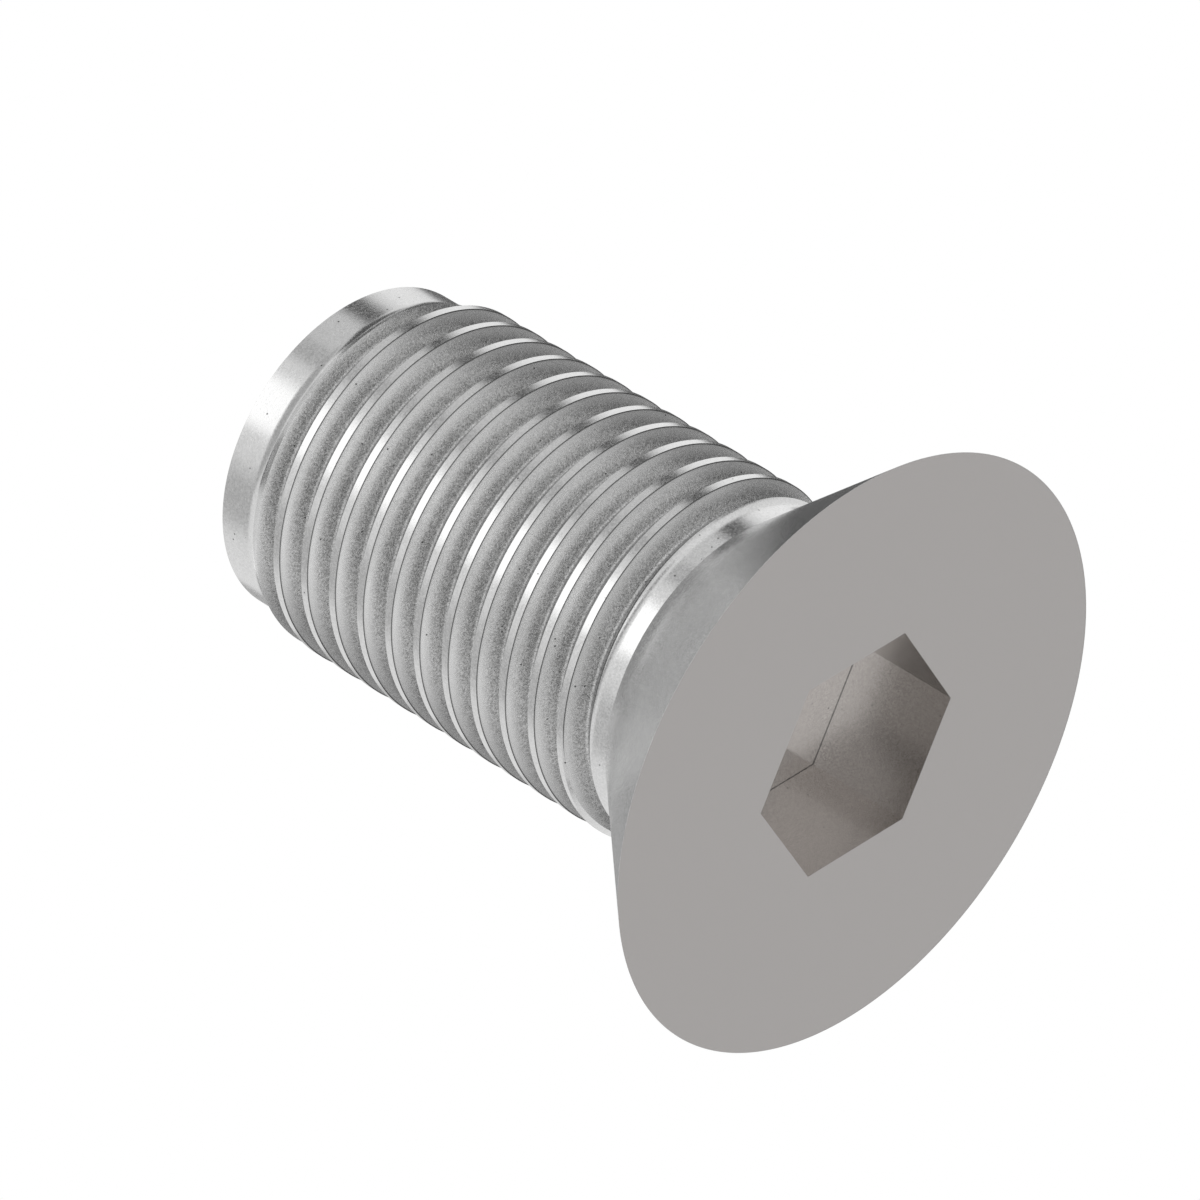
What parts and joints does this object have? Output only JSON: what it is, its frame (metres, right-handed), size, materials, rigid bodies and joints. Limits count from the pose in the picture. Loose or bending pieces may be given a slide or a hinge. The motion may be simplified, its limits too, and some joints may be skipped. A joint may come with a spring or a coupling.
{
  "type": "countersunk socket head screw",
  "caption": "Countersunk screw with a hexagon socket in its flat head, a short plain neck, a fine-pitch thread and a plain turned-down tip.",
  "frame": {"origin": "centre of the head's flat face, on which the screw stands", "axes": "+Z along the screw's axis from the head face to the tip; +X through a corner of the hexagon socket"},
  "size_m": [0.0198, 0.0198, 0.022],
  "materials": {
    "steel": "plain stainless steel, finely turned, satin to bright"
  },
  "bodies": {
    "root": {"screw": "steel"}
  },
  "joints": []
}
